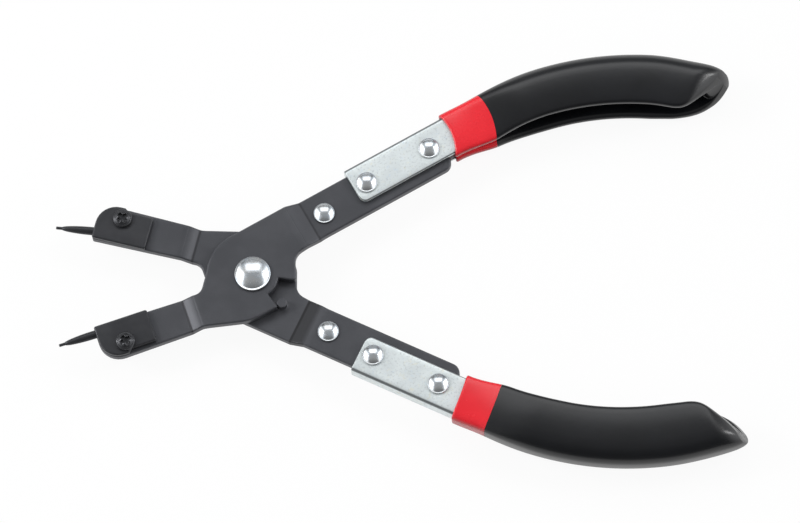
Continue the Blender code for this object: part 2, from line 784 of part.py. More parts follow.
def lever_pieces(word, side):
    pieces = [
        lever(f"{word}_lever", side),
        handle_channel(f"{word}_handle_channel", side),
        grip_collar(f"{word}_grip_collar", side),
        grip(f"{word}_grip", side),
        spring_post(f"{word}_spring_post", side),
        tip_clamp(f"{word}_tip_clamp", side),
        clamp_screw(f"{word}_clamp_screw", side),
        tip(f"{word}_tip", side),
    ]
    for which, place in CHANNEL_RIVETS.items():
        pieces.append(channel_rivet(f"{word}_channel_rivet_{which}", side, place))
    return pieces


clear_scene()
parts = add_collection("circlip_pliers")
cutters = add_collection("cutters")
carrier("front_carrier", [*lever_pieces("front", FRONT), pivot_rivet(), return_spring()])
carrier("rear_carrier", lever_pieces("rear", REAR))
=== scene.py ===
"""Circlip pliers: two crossed stamped levers with clamped tips, riveted channels and dipped vinyl grips."""

from math import asin, atan2, cos, pi, radians, sin, sqrt, tan

import bmesh
import bpy
from mathutils import Euler, Matrix, Vector


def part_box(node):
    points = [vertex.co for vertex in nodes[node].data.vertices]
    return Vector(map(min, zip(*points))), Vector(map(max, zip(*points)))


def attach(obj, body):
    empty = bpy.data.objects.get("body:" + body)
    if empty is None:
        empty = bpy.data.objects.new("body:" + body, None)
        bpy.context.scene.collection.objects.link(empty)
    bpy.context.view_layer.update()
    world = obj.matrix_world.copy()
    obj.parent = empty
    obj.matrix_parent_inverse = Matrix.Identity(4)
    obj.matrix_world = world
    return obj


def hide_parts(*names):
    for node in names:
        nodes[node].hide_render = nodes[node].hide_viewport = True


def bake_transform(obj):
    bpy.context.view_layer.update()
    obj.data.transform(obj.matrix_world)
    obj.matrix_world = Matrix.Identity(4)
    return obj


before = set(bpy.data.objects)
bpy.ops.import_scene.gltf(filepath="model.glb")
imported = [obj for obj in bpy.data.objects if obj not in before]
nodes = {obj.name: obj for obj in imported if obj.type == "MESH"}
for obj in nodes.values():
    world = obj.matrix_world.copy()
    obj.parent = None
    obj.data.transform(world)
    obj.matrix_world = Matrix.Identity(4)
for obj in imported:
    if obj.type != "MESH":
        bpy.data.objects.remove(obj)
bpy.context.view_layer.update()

# The place where the pliers were photographed.
# They lie flat on a white table, seen from above and from a little in front of the rear lever's handle.
# The camera is far away with a long lens, and everything round it is a soft white studio.
scene = bpy.context.scene
scene.view_settings.view_transform = "Standard"
channel_low, channel_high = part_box("front_handle_channel")
MIDDLE = (channel_low.z + channel_high.z) / 2
TABLE_SIZE = 3.0
TABLE_DROP = 0.0001
TABLE_PAINT = (0.9, 0.9, 0.9)
TABLE_WHITE = 0.93
LOOKED_AT = Vector((0.042, 0, MIDDLE))
CAMERA_TURN = Euler((radians(18.478), radians(2.321), radians(-2.072)))
CAMERA_DISTANCE = 2.0
CAMERA_ASIDE = Vector((0.000297, 0.002572, CAMERA_DISTANCE))
METRES_PER_PIXEL = 0.0002877
PHOTO_WIDTH = 800
SENSOR = 36
FAR_AWAY = 20

camera_data = bpy.data.cameras.new("camera")
camera_data.sensor_width = SENSOR
camera_data.lens = CAMERA_DISTANCE / METRES_PER_PIXEL * SENSOR / PHOTO_WIDTH
camera_data.clip_end = FAR_AWAY
camera = bpy.data.objects.new("camera", camera_data)
camera.rotation_euler = CAMERA_TURN
camera.location = LOOKED_AT + CAMERA_TURN.to_matrix() @ CAMERA_ASIDE
scene.collection.objects.link(camera)
scene.camera = camera


class Value:
    """A value inside a node tree. Sums and products of it add Math nodes."""

    def __init__(self, tree, socket=None):
        self.tree = tree
        self.socket = socket

    def node(self, kind, sockets, output=0, **settings):
        """Any other node: its settings first, then the values or links of its sockets."""
        node = self.tree.nodes.new("ShaderNode" + kind)
        for name, value in settings.items():
            setattr(node, name, value)
        for name, value in sockets.items():
            if isinstance(value, Value):
                self.tree.links.new(value.socket, node.inputs[name])
            elif isinstance(value, tuple) and node.inputs[name].type == "RGBA":
                node.inputs[name].default_value = (*value, 1)
            else:
                node.inputs[name].default_value = value
        return Value(self.tree, node.outputs[output])

    def maths(self, operation, first, second):
        return self.node("Math", {0: first, 1: second}, operation=operation)

    def __add__(self, other):
        return self.maths("ADD", self, other)

    def __radd__(self, other):
        return self.maths("ADD", other, self)

    def __sub__(self, other):
        return self.maths("SUBTRACT", self, other)

    def __rsub__(self, other):
        return self.maths("SUBTRACT", other, self)

    def __mul__(self, other):
        return self.maths("MULTIPLY", self, other)

    def most(self, other):
        return self.maths("MAXIMUM", self, other)

    def distance(self, place):
        """How far the value is from another, on either side."""
        gap = self - place
        return gap.maths("ABSOLUTE", gap, 0.0)

    def between(self, low, high):
        """0 below low, 1 above high and a smooth rise between them."""
        sockets = {"Value": self, "From Min": low, "From Max": high}
        return self.node("MapRange", sockets, interpolation_type="SMOOTHSTEP")

    def mix(self, first, second):
        """Colour between two colours, by this value."""
        return self.node("Mix", {0: self, 6: first, 7: second}, output=2, data_type="RGBA")


def seen_as_white(tree, shader, share):
    """The shader, with a share of plain white where the camera, a reflection or a clear body sees it."""
    paths = tree.nodes.new("ShaderNodeLightPath")
    seen = Value(tree, paths.outputs["Is Camera Ray"]).most(Value(tree, paths.outputs["Is Glossy Ray"]))
    seen = seen.most(Value(tree, paths.outputs["Is Transmission Ray"]))
    white = seen.node("Emission", {"Strength": 1.0})
    return seen.node("MixShader", {0: seen * share, 1: shader, 2: white})


def table():
    mesh = bpy.data.meshes.new("table")
    half = TABLE_SIZE / 2
    corners = [(-half, -half, 0), (half, -half, 0), (half, half, 0), (-half, half, 0)]
    mesh.from_pydata(corners, [], [(0, 1, 2, 3)])
    floor = bpy.data.objects.new("table", mesh)
    scene.collection.objects.link(floor)
    paint = bpy.data.materials.new("white table")
    paint.use_nodes = True
    tree = paint.node_tree
    tree.nodes.clear()
    dull = Value(tree).node("BsdfDiffuse", {"Color": TABLE_PAINT})
    output = tree.nodes.new("ShaderNodeOutputMaterial")
    tree.links.new(seen_as_white(tree, dull, TABLE_WHITE).socket, output.inputs["Surface"])
    mesh.materials.append(paint)
    floor.location.z = -TABLE_DROP
    return floor


table()

# The studio, as the steel and the vinyl mirror it: a white panel on each side and a bright strip at the back.
# It is darker towards the camera and low down at the back. The camera itself sees plain white.
ROOM_LIGHT = 0.31
PANEL_LIGHT = 1.5
PANEL_EDGE = (0.58, 0.78)
STRIP_LIGHT = 1.9
STRIP_EDGE = (0.35, 0.54)
STRIP_HALF = (0.3, 0.5)
NEAR_SHADE = 0.5
NEAR_EDGE = (0.2, 0.8)
FAR_SHADE = 0.85
FAR_EDGE = (0.74, 0.88)
STUDIO_TINT = (0.98, 0.99, 1.0)

world = bpy.data.worlds.new("studio")
scene.world = world
world.use_nodes = True
sky = world.node_tree
sky.nodes.clear()
way = Value(sky).node("TexCoord", {}, output="Generated")
parts_of_way = way.node("SeparateXYZ", {0: way})
across, up_screen = (Value(sky, parts_of_way.socket.node.outputs[i]) for i in range(2))
aside = across.distance(0)
panels = aside.between(*PANEL_EDGE)
strip = up_screen.between(*STRIP_EDGE) * (1 - aside.between(*STRIP_HALF))
nearby = (0 - up_screen).between(*NEAR_EDGE)
shade = (1 - nearby * NEAR_SHADE) * (1 - up_screen.between(*FAR_EDGE) * FAR_SHADE)
brightness = (ROOM_LIGHT + panels * PANEL_LIGHT + strip * STRIP_LIGHT) * shade
backdrop = way.node("Background", {"Color": (1.0, 1.0, 1.0), "Strength": 1.0})
studio = way.node("Background", {"Color": STUDIO_TINT, "Strength": brightness})
seen = way.node("LightPath", {}, output="Is Camera Ray")
sky_output = sky.nodes.new("ShaderNodeOutputWorld")
sky.links.new(way.node("MixShader", {0: seen, 1: studio, 2: backdrop}).socket, sky_output.inputs["Surface"])


def softbox(name, place, width, depth, watts):
    """Flat lamp that looks at the middle of the pliers."""
    data = bpy.data.lights.new(name, "AREA")
    data.shape = "RECTANGLE"
    data.size = width
    data.size_y = depth
    data.energy = watts
    lamp = bpy.data.objects.new(name, data)
    lamp.location = place
    lamp.rotation_euler = (Vector(place) - LOOKED_AT).to_track_quat("Z", "Y").to_euler()
    scene.collection.objects.link(lamp)


softbox("key", (-0.85, 0.2, 0.65), 0.35, 0.3, 4.6)
softbox("fill", (0.9, 0.25, 0.75), 0.3, 0.3, 2.6)


# The two levers, stamped from 2.8 mm steel plate and blackened.
# Each is stepped at its jaw and at its handle, so that jaws and handles lie level although the levers cross.
# Their satin finish is even and dark grey, with a fine tumbled grain, lighter in patches along the edges,
# partly from rubbing and partly as a painted highlight, and painted shade darkens the creases of the steps.
LEVER_GREY = (0.084, 0.086, 0.095)
LEVER_DARK = (0.068, 0.07, 0.078)
# Edge colour, partly rubbing wear and partly a painted highlight.
LEVER_WORN_LIT_EDGE = (0.2, 0.205, 0.22)
# Painted shade: this colour darkens the tight inside of each step's bend.
CREASE_SHADE = (0.02, 0.02, 0.022)
LEVER_ROUNDING = 0.0006
HANDLE_ANGLE = radians(27.4)
JAW_ANGLE = radians(16.5)
HANDLE_STEP = (0.0179, 0.0222)
JAW_STEP = (0.01845, 0.0217)
STEP_HEIGHT = 0.0015
BEND_OUTSIDE = 0.0019
BEND_INSIDE = 0.0005
# Where the painted shadow on the rear lever's handle step starts and fades out.
SHADOW_BAND_EDGE = 0.0004
SHADOW_BAND_FADE = (-0.0015, 0.0008)
FINE_RELIEF = 0.00003
EDGE_MASK_ROUNDING = 0.0003


def new_finish(name):
    """An empty Principled material: (material, its tree's first value, its shader node)."""
    material = bpy.data.materials.new(name)
    material.use_nodes = True
    return material, Value(material.node_tree), material.node_tree.nodes["Principled BSDF"]


def connect(value, shader, name):
    value.tree.links.new(value.socket, shader.inputs[name])


def noise(start, scale, detail=3.0, stretch=(1, 1, 1), roughness=0.55):
    """Noise in the object's own space, in features per metre."""
    place = start.node("TexCoord", {}, output="Object")
    sized = start.node("Mapping", {"Vector": place, "Scale": stretch})
    return start.node("TexNoise", {"Vector": sized, "Scale": scale, "Detail": detail, "Roughness": roughness})


def bumped(shader, height, distance, strength=1.0, rounding=None, relief=None):
    """Fine relief from a height. A rounding softens sharp edges, and a relief in metres lies under it."""
    sockets = {"Height": height, "Distance": distance, "Strength": strength}
    if rounding:
        sockets["Normal"] = height.node("Bevel", {"Radius": rounding}, samples=8)
    if relief:
        below = {"Height": relief, "Distance": 1.0, "Normal": sockets["Normal"]}
        sockets["Normal"] = height.node("Bump", below)
    connect(height.node("Bump", sockets), shader, "Normal")


def worn_lit_edges(start, radius):
    """1 along edges, 0 on flat faces, from how far the rounded normal leans from the real one."""
    soft = start.node("Bevel", {"Radius": radius}, samples=6)
    real = start.node("NewGeometry", {}, output="Normal")
    match = start.node("VectorMath", {0: soft, 1: real}, output="Value", operation="DOT_PRODUCT")
    return (1 - match).between(0.04, 0.3)


def pressed_steps_and_shade(start, side):
    """(relief that rounds the two steps of a lever, mask of painted shade in the crease of each step).
    Each bend is wide on its outside and tight on its inside.
    The rear lever's handle step is dark all over with a painted shadow."""
    place = start.node("TexCoord", {}, output="Object")
    normal = start.node("NewGeometry", {}, output="Normal")
    face = start.node("SeparateXYZ", {0: normal}, output="Z").between(-0.3, 0.3) * 2 - 1
    relief = painted_shade = face * 0
    handle = (cos(HANDLE_ANGLE), side * sin(HANDLE_ANGLE), 0)
    jaw = (-cos(JAW_ANGLE), -side * sin(JAW_ANGLE), 0)
    for ray, (near, far) in ((handle, HANDLE_STEP), (jaw, JAW_STEP)):
        along = start.node("VectorMath", {0: place, 1: ray}, output="Value", operation="DOT_PRODUCT")
        outside, inside = (near, far) if side > 0 else (far, near)
        over = (BEND_OUTSIDE - along.distance(outside)).most(0)
        under = (BEND_INSIDE - along.distance(inside)).most(0)
        slope = STEP_HEIGHT / (far - near) / 4
        relief += (under * under * (slope / BEND_INSIDE) - over * over * (slope / BEND_OUTSIDE)) * face
        painted_shade += under * (1 / BEND_INSIDE)
        # On the rear lever, a painted shadow darkens the whole handle step.
        if side < 0 and ray == handle:
            shadow_band = along.between(near - SHADOW_BAND_EDGE, near)
            painted_shade += shadow_band - along.between(far + SHADOW_BAND_FADE[0], far + SHADOW_BAND_FADE[1])
    return relief, painted_shade


def blackened_steel(name, grey, dark, worn_lit_edge, sheen=0.36, side=0):
    """Satin black finish. A side, 1 or -1, adds the pressed steps of the front or rear lever, with painted
    shade in their bends.
    """
    material, start, shader = new_finish(name)
    cloud = noise(start, 90, 4)
    grain = noise(start, 2600, 2)
    # Lighter patches along edges: partly rubbing wear, partly a painted highlight.
    edges = worn_lit_edges(start, EDGE_MASK_ROUNDING) * noise(start, 170, 3).between(0.52, 0.64)
    tone = (edges * 0.7).mix(cloud.between(0.3, 0.75).mix(dark, grey), worn_lit_edge)
    relief = None
    if side:
        relief, painted_shade = pressed_steps_and_shade(start, side)
        # Painted shade in the creases of the steps, and a painted shadow over the rear lever's handle step.
        tone = (painted_shade * 0.8).mix(tone, CREASE_SHADE)
    connect(tone, shader, "Base Color")
    connect(sheen + cloud * 0.12 + grain * 0.08, shader, "Roughness")
    shader.inputs["Metallic"].default_value = 0.6
    bumped(shader, grain + noise(start, 700, 2) * 0.6, FINE_RELIEF, 0.5, LEVER_ROUNDING, relief)
    return material


def dress(node, material):
    nodes[node].material_slots[0].material = material


SIDES = {"front": 1, "rear": -1}
for word, side in SIDES.items():
    steel = blackened_steel(f"{word} blackened steel", LEVER_GREY, LEVER_DARK, LEVER_WORN_LIT_EDGE, side=side)
    dress(f"{word}_lever", steel)

# The pivot rivet, a plated steel rivet 7 mm thick with a low domed head in front.
# Its tail is set flat behind. The plating is bright, with a faint blue cast and fine scuffs from handling.
PIVOT_RADIUS = 0.0035
PIVOT_HEAD_RADIUS = 0.0052
PIVOT_HEAD_HEIGHT = 0.0018
TAIL_RADIUS = 0.0058
TAIL_HEIGHT = 0.0012
SEAT_GAP = 0.0002
LEVER_GAP = 0.0002
PLATE = 0.0028
FRONT_TOP = MIDDLE + LEVER_GAP / 2 + PLATE
FACE = MIDDLE + PLATE / 2
BACK = MIDDLE - PLATE / 2
PLATING = (0.86, 0.88, 0.89)
PLATING_DULL = (0.6, 0.62, 0.64)
BLUE_CAST = (0.76, 0.84, 0.92)
# Painted shade for the foot of each rivet head.
FOOT_SHADE = (0.05, 0.052, 0.056)
PIVOT_LIP = 0.0003
HEAD_LIP = 0.0002
EDGE_BREAK = 0.0002
ON_AXIS = 0.00001
SHARP_ANGLE = radians(40)


def polar(radius, angle):
    return Vector((radius * cos(angle), radius * sin(angle)))


def arc(centre, radius, start, end, count):
    """Points on a circle from one angle to another, both ends included."""
    return [Vector(centre) + polar(radius, start + (end - start) * i / count) for i in range(count + 1)]


def dome(radius, height, seat, lip, count=14):
    """Profile of a domed head, from its top down to a small round lip at its seat."""
    ball = (radius * radius + height * height) / (2 * height)
    swing = asin((radius - lip) / ball)
    turns = [swing * i / count for i in range(count)]
    cap = [(ball * sin(turn), height - ball * (1 - cos(turn))) for turn in turns]
    edge = arc((radius - lip, lip * 0.9), lip, pi / 2 - swing * 0.6, -pi / 2, 5)
    return [(across, seat + max(0, rise)) for across, rise in [*cap, *edge]]


def lathe(name, profile, place, steps=56, turn=None):
    """Turned piece from a profile of (radius, height), listed from its top to its bottom."""
    mesh = bpy.data.meshes.new(name)
    body = bmesh.new()
    rings = []
    for radius, height in profile:
        count = 1 if radius < ON_AXIS else steps
        spots = [polar(radius, 2 * pi * i / steps) for i in range(count)]
        rings.append([body.verts.new((spot.x, spot.y, height)) for spot in spots])
    for ring, following in zip(rings, rings[1:]):
        for i in range(steps):
            corners = [ring[(i - 1) % len(ring)], ring[i % len(ring)]]
            corners += [following[i % len(following)], following[(i - 1) % len(following)]]
            corners = list(dict.fromkeys(corners))
            if len(corners) > 2:
                body.faces.new(corners)
    bmesh.ops.recalc_face_normals(body, faces=body.faces)
    body.to_mesh(mesh)
    body.free()
    return piece_of(name, mesh, place, turn)


def piece_of(name, mesh, place=(0, 0, 0), turn=None):
    piece = bpy.data.objects.new(name, mesh)
    scene.collection.objects.link(piece)
    piece.location = place
    if turn is not None:
        piece.rotation_euler = turn
    mesh.shade_smooth()
    mesh.set_sharp_from_angle(angle=SHARP_ANGLE)
    return piece


def facing_up(start):
    """1 where a surface faces up or down, 0 where it stands upright."""
    normal = start.node("NewGeometry", {}, output="Normal")
    return start.node("SeparateXYZ", {0: normal}, output="Z").distance(0)


def plated_steel(name):
    """Bright plating with scuffs. Painted shade makes a dark line round the foot of each head."""
    material, start, shader = new_finish(name)
    cloud = noise(start, 240, 3)
    dull = noise(start, 900, 4).between(0.5, 0.75)
    tint = cloud.between(0.35, 0.7).mix(PLATING, BLUE_CAST)
    scuffed = (dull * 0.5).mix(tint, PLATING_DULL)
    # Painted shade on the upright faces, chiefly round the foot of each head.
    rim = 1 - facing_up(start).between(0.3, 0.6)
    connect((rim * 0.9).mix(scuffed, FOOT_SHADE), shader, "Base Color")
    connect(0.17 + dull * 0.14 + cloud * 0.1 + rim * 0.3, shader, "Roughness")
    shader.inputs["Metallic"].default_value = 1.0
    bumped(shader, noise(start, 1500, 3), FINE_RELIEF, 0.35)
    return material


def stand_for(piece, node, body):
    """The piece takes over from a CAD node and moves with its body."""
    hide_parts(node)
    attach(piece, body)


rivet_finish = plated_steel("plated rivet steel")
tail = [(TAIL_RADIUS - EDGE_BREAK, TAIL_HEIGHT), (TAIL_RADIUS, TAIL_HEIGHT - EDGE_BREAK)]
tail += [(TAIL_RADIUS, 2 * EDGE_BREAK), (TAIL_RADIUS - 2 * EDGE_BREAK, 0.0), (0, 0)]
pivot_profile = dome(PIVOT_HEAD_RADIUS, PIVOT_HEAD_HEIGHT, FRONT_TOP + SEAT_GAP, PIVOT_LIP)
pivot_profile += [(PIVOT_RADIUS, FRONT_TOP + SEAT_GAP), (PIVOT_RADIUS, TAIL_HEIGHT), *tail]
pivot = lathe("pivot_rivet_head", pivot_profile, (0, 0, 0), 72)
pivot.data.materials.append(rivet_finish)
stand_for(pivot, "pivot_rivet", "front_lever")

# The third rivet of each lever, domed in front, with a long flanged post behind that holds the spring.
# Its plating is the pivot rivet's.
SPRING_POST = (0.027, 0.0062)
POST_RADIUS = 0.0015
FLANGE_RADIUS = 0.0024
FLANGE_HEIGHT = 0.0007
RIVET_RADIUS = 0.0017
HEAD_RADIUS = 0.00305
HEAD_HEIGHT = 0.0013
WIRE = 0.0012
COIL_CLEARANCE = 0.0003
REAR_BOTTOM = MIDDLE - LEVER_GAP / 2 - PLATE
LEG_HEIGHT = REAR_BOTTOM - COIL_CLEARANCE - WIRE / 2


def handle_point(along, out, side=1):
    """Point on a handle: along the ray from the pivot and outwards from it."""
    x = along * cos(HANDLE_ANGLE) - out * sin(HANDLE_ANGLE)
    y = along * sin(HANDLE_ANGLE) + out * cos(HANDLE_ANGLE)
    return Vector((x, side * y))


for word, side in SIDES.items():
    hook = LEG_HEIGHT - WIRE / 2 - SEAT_GAP
    back = BACK - SEAT_GAP
    post = dome(HEAD_RADIUS, HEAD_HEIGHT, FACE + SEAT_GAP, HEAD_LIP)
    post += [(RIVET_RADIUS, FACE + SEAT_GAP), (RIVET_RADIUS, back), (FLANGE_RADIUS, back)]
    post += [(FLANGE_RADIUS, back - FLANGE_HEIGHT / 2), (POST_RADIUS, back - FLANGE_HEIGHT / 2)]
    post += [(POST_RADIUS, hook), (FLANGE_RADIUS - 0.0001, hook), (FLANGE_RADIUS, hook - 0.0001)]
    post += [(FLANGE_RADIUS - 0.0003, hook - FLANGE_HEIGHT), (0, hook - FLANGE_HEIGHT)]
    spot = handle_point(*SPRING_POST, side)
    piece = lathe(f"{word}_spring_post_turned", post, (spot.x, spot.y, 0), 40)
    piece.data.materials.append(rivet_finish)
    stand_for(piece, f"{word}_spring_post", f"{word}_lever")

# The return spring, bent from 1.2 mm spring wire: a coil round the pivot rivet behind the rear lever.
# Each straight leg hooks round a post and pushes its handle outwards. The drawn wire is streaked and oiled.
COIL_RADIUS = PIVOT_RADIUS + COIL_CLEARANCE + WIRE / 2
HOOK_RADIUS = POST_RADIUS + SEAT_GAP + WIRE / 2
HOOK_ANGLE = radians(150)
COIL_PITCH = 0.0014
COIL_STEPS = 120
HOOK_STEPS = 16
POST_SPOT = handle_point(*SPRING_POST)
LEG_ANGLE = atan2(POST_SPOT.y, POST_SPOT.x) - asin((COIL_RADIUS + HOOK_RADIUS) / POST_SPOT.length)
COIL_ANGLE = 3 * pi - 2 * LEG_ANGLE
COIL_HEIGHT = COIL_PITCH * COIL_ANGLE / (2 * pi)
WIRE_GREY = (0.3, 0.3, 0.31)
WIRE_DARK = (0.16, 0.155, 0.15)


def wire_route():
    """Centre line of the spring from the front hook through the coil to the rear hook."""
    start = LEG_ANGLE - pi / 2
    hook = arc(POST_SPOT, HOOK_RADIUS, start + HOOK_ANGLE, start, HOOK_STEPS)
    front = [(spot.x, spot.y, LEG_HEIGHT) for spot in hook]
    coil = []
    for i in range(COIL_STEPS + 1):
        spot = polar(COIL_RADIUS, LEG_ANGLE + pi / 2 + COIL_ANGLE * i / COIL_STEPS)
        coil.append((spot.x, spot.y, LEG_HEIGHT - COIL_HEIGHT * i / COIL_STEPS))
    rear = [(spot.x, -spot.y, LEG_HEIGHT) for spot in reversed(hook)]
    return front + coil + rear


def bent_wire(name, route, thickness):
    """Round wire along a route, as a mesh with closed ends."""
    curve = bpy.data.curves.new(name, "CURVE")
    curve.dimensions = "3D"
    curve.bevel_depth = thickness / 2
    curve.bevel_resolution = 5
    curve.use_fill_caps = True
    spline = curve.splines.new("POLY")
    spline.points.add(len(route) - 1)
    for point, spot in zip(spline.points, route):
        point.co = (*spot, 1)
    guide = bpy.data.objects.new(name, curve)
    scene.collection.objects.link(guide)
    mesh = bpy.data.meshes.new_from_object(guide.evaluated_get(bpy.context.evaluated_depsgraph_get()))
    bpy.data.objects.remove(guide)
    return piece_of(name, mesh)


def drawn_wire(name):
    """Oiled steel wire with dark streaks."""
    material, start, shader = new_finish(name)
    streak = noise(start, 500, 4)
    connect(streak.between(0.35, 0.7).mix(WIRE_DARK, WIRE_GREY), shader, "Base Color")
    connect(0.24 + streak * 0.2, shader, "Roughness")
    shader.inputs["Metallic"].default_value = 1.0
    bumped(shader, noise(start, 2000, 2), 0.00002, 0.4)
    return material


spring = bent_wire("return_spring_wire", wire_route(), WIRE)
spring.data.materials.clear()
spring.data.materials.append(drawn_wire("drawn spring wire"))
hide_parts("return_spring")
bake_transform(spring)

# The handle channels, folded from 1.4 mm zinc plated sheet over the outer edge of each handle.
# Both flanges are riveted to the handle, and the channel runs on, bent, into the vinyl grip.
# The plating is pale and rolled along its length, with faint flecks and specks, and painted shade darkens it
# where it was bent.
SHEET = 0.0014
HANDLE_WIDTH = 0.0127
HANDLE_LENGTH = 0.0668
CHANNEL_EDGE = HANDLE_WIDTH + SEAT_GAP + SHEET
CHANNEL_HALF = PLATE / 2 + SEAT_GAP + SHEET
CHANNEL_START = 0.038
CHANNEL_WIDTH = 0.0115
FOLD_SHARE = 0.45
FOLD_INNER = 0.0005
SLIT = 0.0001
FILLED = 0.013
FILLED_SHARE = 0.8
LEAST_LIP = 0.0005
SHEET_CORNER = 0.0018
SHEET_EDGE = 0.00015
CORNER_STEPS = 7
LENGTH_STEPS = 60
HIDDEN_END_STEPS = 8
COLLAR_START = HANDLE_LENGTH + 0.0034
COLLAR_END = COLLAR_START + 0.0108
BEND_START = COLLAR_END + 0.002
BEND_RADIUS = 0.092
BEND_EARLY = {1: 0.0015, -1: 0.0}
FLARE = (COLLAR_START, BEND_START + 0.011)
FLARE_HEIGHT = 0.0024
COLLAR_WIDENING = 0.0019
GRIP_WIDENING = 0.0008
TIP_START = BEND_START + 0.059
TIP_LENGTH = 0.0164
NOSE_START = TIP_START + 0.008
NOSE_LENGTH = 0.0084
NOSE_CUT = 0.95
CHANNEL_END = NOSE_START + 0.002
GRIP_END = NOSE_START + NOSE_CUT * NOSE_LENGTH
SKIN = 0.0006
COAT = SEAT_GAP + SKIN
SOFTER = 0.3
SOFT_END = COLLAR_END + 0.02
CROWN = 0.11
LEAN_START = NOSE_START - 0.006
NOSE_LEAN = 0.42
NOSE_HALF = 0.003
ZINC = (0.77, 0.825, 0.83)
ZINC_DULL = (0.64, 0.69, 0.7)
ZINC_SPECK = (0.42, 0.45, 0.46)
# Painted shade for the fold of the channel.
ZINC_BEND_SHADE = (0.11, 0.118, 0.122)
ZINC_YELLOW = (0.78, 0.74, 0.55)
ZINC_BLUE = (0.6, 0.72, 0.84)
ZINC_METALLIC = 0.6


def ease(value, start, end):
    """Smooth rise from 0 to 1 between two lengths."""
    share = min(1, max(0, (value - start) / (end - start)))
    return share * share * (3 - 2 * share)


def ellipse(value, start, length):
    """Falls from 1 to 0 like a quarter of an ellipse."""
    share = max(0, (value - start) / length)
    return sqrt(max(0, 1 - share * share))


def edge_frame(along, side):
    """Point on a channel's outer edge and the way inwards, straight first and then round the bend."""
    start = BEND_START - BEND_EARLY[side]
    if along <= start:
        return handle_point(along, CHANNEL_EDGE), -handle_point(0, 1)
    centre = handle_point(start, CHANNEL_EDGE - BEND_RADIUS)
    angle = HANDLE_ANGLE + pi / 2 - (along - start) / BEND_RADIUS
    return centre + polar(BEND_RADIUS, angle), -polar(1, angle)


def channel_width(along):
    width = CHANNEL_WIDTH + COLLAR_WIDENING * ease(along, COLLAR_START, BEND_START)
    width += GRIP_WIDENING * ease(along, BEND_START, TIP_START)
    return (width + 2 * COAT) * ellipse(along, TIP_START, TIP_LENGTH) - 2 * COAT


def channel_half(along):
    half = CHANNEL_HALF + FLARE_HEIGHT * ease(along, *FLARE)
    least = SHEET + COAT
    return least + (half - least) * ellipse(along, NOSE_START, NOSE_LENGTH)


def u_section(along, grow, softer=0.0, cut=0.0):
    """Section across a channel as (inwards, height), grown on all sides by a coat.
    Softer makes its fold rounder, and a cut takes something off its lips. Its slit closes at the nose."""
    half = channel_half(along)
    outer = half + grow
    inner = max(half - SHEET - grow, SLIT)
    web = SHEET + grow
    lip = max(channel_width(along) + grow - cut, web + LEAST_LIP)
    web += FILLED_SHARE * (lip - web) * ease(along, GRIP_END - FILLED, GRIP_END - 0.001)
    fold = min((FOLD_SHARE + softer) * half + grow, outer * 0.8)
    corner = min(0.7 * inner, FOLD_INNER)
    edge = (outer - inner) / 2
    round_lip = min(0.8 * edge, (lip - web) / 2)
    upper = arc((web + corner, inner - corner), corner, pi, pi / 2, 3)
    upper += arc((lip - round_lip, inner + round_lip), round_lip, -pi / 2, 0, 4)
    upper += arc((lip - round_lip, outer - round_lip), round_lip, 0, pi / 2, 4)
    face = spaced(lip - round_lip, fold - grow, 9)[1:-1]
    upper += [Vector((across, outer)) for across in face]
    upper += arc((fold - grow, outer - fold), fold, pi / 2, pi, 9)
    return upper + [Vector((point.x, -point.y)) for point in reversed(upper)]


def spaced(start, end, count):
    return [start + (end - start) * i / count for i in range(count + 1)]


def u_ring(body, side, along, section, slant=0.0, bow=0.0):
    """One section as a ring of points. A slant sets its outer edge further along, a bow its middle.
    At the nose the section leans back, so that the front flange ends before the rear one."""
    edge, inwards = edge_frame(along, side)
    ahead = Vector((-inwards.y, inwards.x))
    lean = NOSE_LEAN * ease(along, LEAN_START, GRIP_END)
    near = min(across for across, height in section)
    far = max(across for across, height in section)
    ring = []
    for across, height in section:
        share = 2 * (across - near) / (far - near) - 1
        shift = bow * (1 - share * share) - slant * share * CHANNEL_WIDTH / 2
        shift -= lean * (height + NOSE_HALF)
        spot = edge + inwards * across + ahead * shift
        ring.append(body.verts.new((spot.x, side * spot.y, MIDDLE + height)))
    return ring


def joined(body, rings, closed=False):
    """Faces between rings of equal length, in turn. Open ends get a cap."""
    following = rings[1:] + rings[:1] if closed else rings[1:]
    for ring, after in zip(rings, following):
        for i in range(len(ring)):
            body.faces.new((ring[i - 1], ring[i], after[i], after[i - 1]))
    if not closed:
        body.faces.new(rings[0])
        body.faces.new(rings[-1])
    bmesh.ops.recalc_face_normals(body, faces=body.faces)


def nosed(start, end, count):
    """Distances that lie closer together towards the end of the nose."""
    return [start + (end - start) * sin(pi / 2 * i / count) for i in range(1, count + 1)]


def finished_mesh(name, body):
    mesh = bpy.data.meshes.new(name)
    body.to_mesh(mesh)
    body.free()
    return mesh


def zinc_plate(name):
    """Pale zinc with yellow and blue flecks and fine grey specks, and painted shade along its bend."""
    material, start, shader = new_finish(name)
    cloud = noise(start, 160, 5)
    fleck = noise(start, 520, 5, roughness=0.7)
    rolled = noise(start, 220, 3, stretch=(1, 6, 1))
    dull = (1 - cloud.between(0.42, 0.62) * 0.5).mix(ZINC_DULL, ZINC)
    warm = (fleck.between(0.56, 0.68) * 0.4).mix(dull, ZINC_YELLOW)
    tinted = ((1 - fleck).between(0.58, 0.7) * 0.45).mix(warm, ZINC_BLUE)
    speck = noise(start, 1500, 3, roughness=0.7).between(0.5, 0.72)
    spangled = (speck * 0.55).mix(tinted, ZINC_SPECK)
    upright = facing_up(start)
    # Painted shade on the steep faces round the fold.
    bend = upright.between(0.3, 0.6) * (1 - upright.between(0.85, 0.985))
    connect((bend * 0.9).mix(spangled, ZINC_BEND_SHADE), shader, "Base Color")
    connect(0.3 + rolled * 0.12 + fleck * 0.1 + speck * 0.1, shader, "Roughness")
    shader.inputs["Metallic"].default_value = ZINC_METALLIC
    bumped(shader, rolled * 0.5 + noise(start, 1100, 3), 0.00004, 0.4)
    return material


